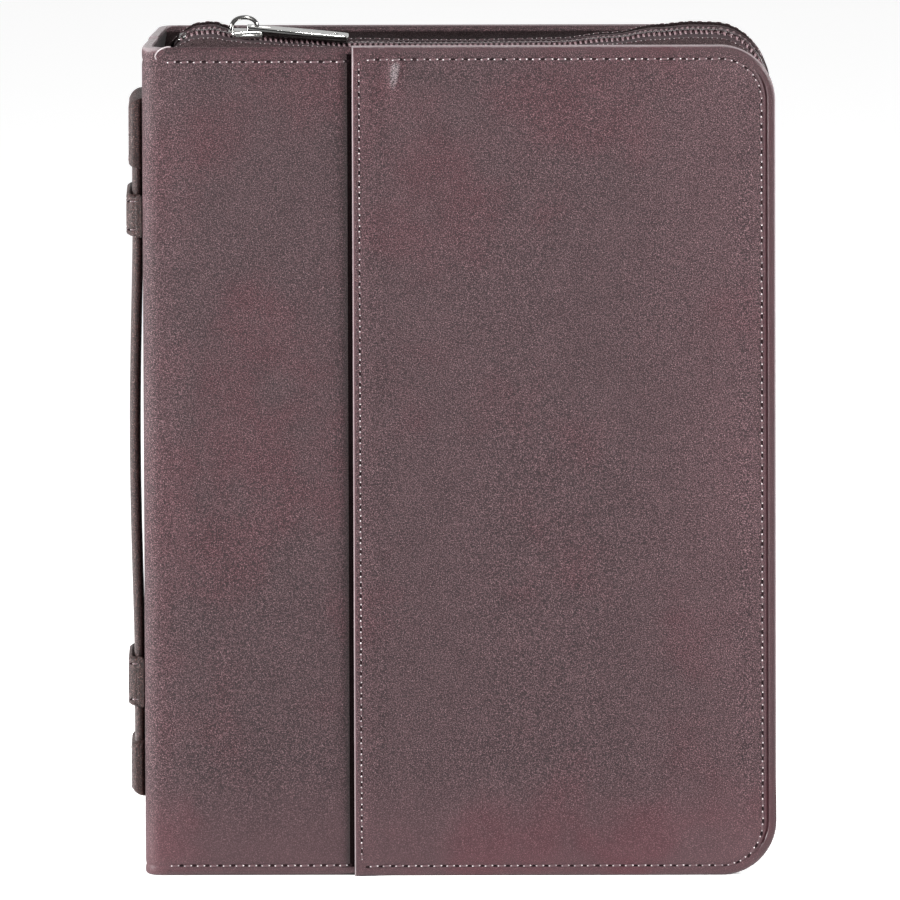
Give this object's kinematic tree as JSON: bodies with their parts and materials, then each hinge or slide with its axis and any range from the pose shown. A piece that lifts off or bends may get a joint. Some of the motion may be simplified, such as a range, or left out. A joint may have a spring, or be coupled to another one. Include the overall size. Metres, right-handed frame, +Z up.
{
  "type": "zip-around bible case with bible",
  "caption": "Upright leatherette zip-around case with a slip pocket, a sliding spine handle and a zip with puller, opening like a book on the Bible inside.",
  "frame": {"origin": "middle of the whole object's box, on the surface it stands on", "axes": "+Z up the cover's height, +X from the spine to the fore edge, front cover facing -Y"},
  "size_m": [0.1976, 0.048, 0.2612],
  "materials": {
    "leatherette": "burgundy brown leatherette, fine pebble grain, low sheen",
    "gusset_leatherette": "thin matte leatherette on the gussets",
    "grey_board": "pressed paper board",
    "lining": "dark woven lining",
    "zip_tape": "woven polyester zip tape",
    "zip_coil": "satin nylon coil",
    "nickel": "polished nickel plate",
    "bible_cover": "black bonded leather over board",
    "paper": "thin book paper",
    "ribbon": "woven satin ribbon"
  },
  "bodies": {
    "back_half": {"back_skin": "leatherette", "back_board": "grey_board", "back_lining": "lining", "back_piping": "leatherette", "back_gusset": "gusset_leatherette", "back_sleeve": "lining", "back_zip_tape": "zip_tape", "back_zip_coil": "zip_coil", "back_zip_top_stop": "nickel", "back_zip_bottom_stop": "nickel", "bible_back_cover": "bible_cover", "back_pages": "paper", "headband": "ribbon", "tailband": "ribbon", "ribbon_marker": "ribbon"},
    "spine": {"spine_skin": "leatherette", "spine_board": "grey_board", "spine_lining": "lining", "bible_spine": "bible_cover", "upper_keeper": "leatherette", "lower_keeper": "leatherette"},
    "front_half": {"front_skin": "leatherette", "front_pocket_panel": "leatherette", "front_board": "grey_board", "front_lining": "lining", "front_piping": "leatherette", "front_gusset": "gusset_leatherette", "front_sleeve": "lining", "front_zip_tape": "zip_tape", "front_zip_coil": "zip_coil", "front_zip_top_stop": "nickel", "front_zip_bottom_stop": "nickel", "bible_front_cover": "bible_cover"},
    "page_section": {"front_pages": "paper"},
    "slider": {"zip_slider_body": "nickel", "zip_slider_bail": "nickel"},
    "puller": {"zip_puller": "nickel"},
    "grip": {"handle_grip": "leatherette"},
    "upper_arm": {"handle_upper_arm": "leatherette"},
    "lower_arm": {"handle_lower_arm": "leatherette"},
    "upper_end": {"handle_upper_end": "leatherette", "handle_upper_stop": "leatherette"},
    "lower_end": {"handle_lower_end": "leatherette", "handle_lower_stop": "leatherette"}
  },
  "joints": [
    {"name": "spine_fold", "type": "hinge", "parent": "back_half", "child": "spine", "pos_m": [-0.0912, 0.022, 0.128], "axis": [0, 0, -1], "range_deg": [0, 90]},
    {"name": "front_cover_fold", "type": "hinge", "parent": "spine", "child": "front_half", "pos_m": [-0.0912, -0.022, 0.128], "axis": [0, 0, -1], "range_deg": [0, 90]},
    {"name": "pages_turn", "type": "hinge", "parent": "back_half", "child": "page_section", "pos_m": [-0.0852, 0, 0.128], "axis": [0, 0, -1], "range_deg": [0, 175.5]},
    {"name": "zip_slide", "type": "slide", "parent": "back_half", "child": "slider", "axis": [1, 0, 0], "range_m": [0, 0.11]},
    {"name": "puller_flip", "type": "hinge", "parent": "slider", "child": "puller", "pos_m": [-0.0613, 0, 0.2584], "axis": [0, -1, 0], "range_deg": [0, 170]},
    {"name": "handle_pull", "type": "slide", "parent": "spine", "child": "grip", "axis": [-1, 0, 0], "range_m": [0, 0.0235]},
    {"name": "upper_arm_swing", "type": "hinge", "parent": "grip", "child": "upper_arm", "pos_m": [-0.0958, 0, 0.153], "axis": [0, 1, 0], "range_deg": [0, 34.1]},
    {"name": "lower_arm_swing", "type": "hinge", "parent": "grip", "child": "lower_arm", "pos_m": [-0.0958, 0, 0.1095], "axis": [0, -1, 0], "range_deg": [0, 34.1]},
    {"name": "upper_end_turn", "type": "hinge", "parent": "upper_arm", "child": "upper_end", "pos_m": [-0.0958, 0, 0.195], "axis": [0, -1, 0], "range_deg": [0, 34.1]},
    {"name": "lower_end_turn", "type": "hinge", "parent": "lower_arm", "child": "lower_end", "pos_m": [-0.0958, 0, 0.0675], "axis": [0, 1, 0], "range_deg": [0, 34.1]}
  ],
  "couplings": [
    {"joint": "front_cover_fold", "follows": "spine_fold", "ratio": 1},
    {"joint": "pages_turn", "follows": "spine_fold", "ratio": 1.95},
    {"joint": "upper_arm_swing", "follows": "handle_pull", "rad_per_m": 25.252},
    {"joint": "lower_arm_swing", "follows": "handle_pull", "rad_per_m": 25.252},
    {"joint": "upper_end_turn", "follows": "handle_pull", "rad_per_m": 25.252},
    {"joint": "lower_end_turn", "follows": "handle_pull", "rad_per_m": 25.252}
  ]
}
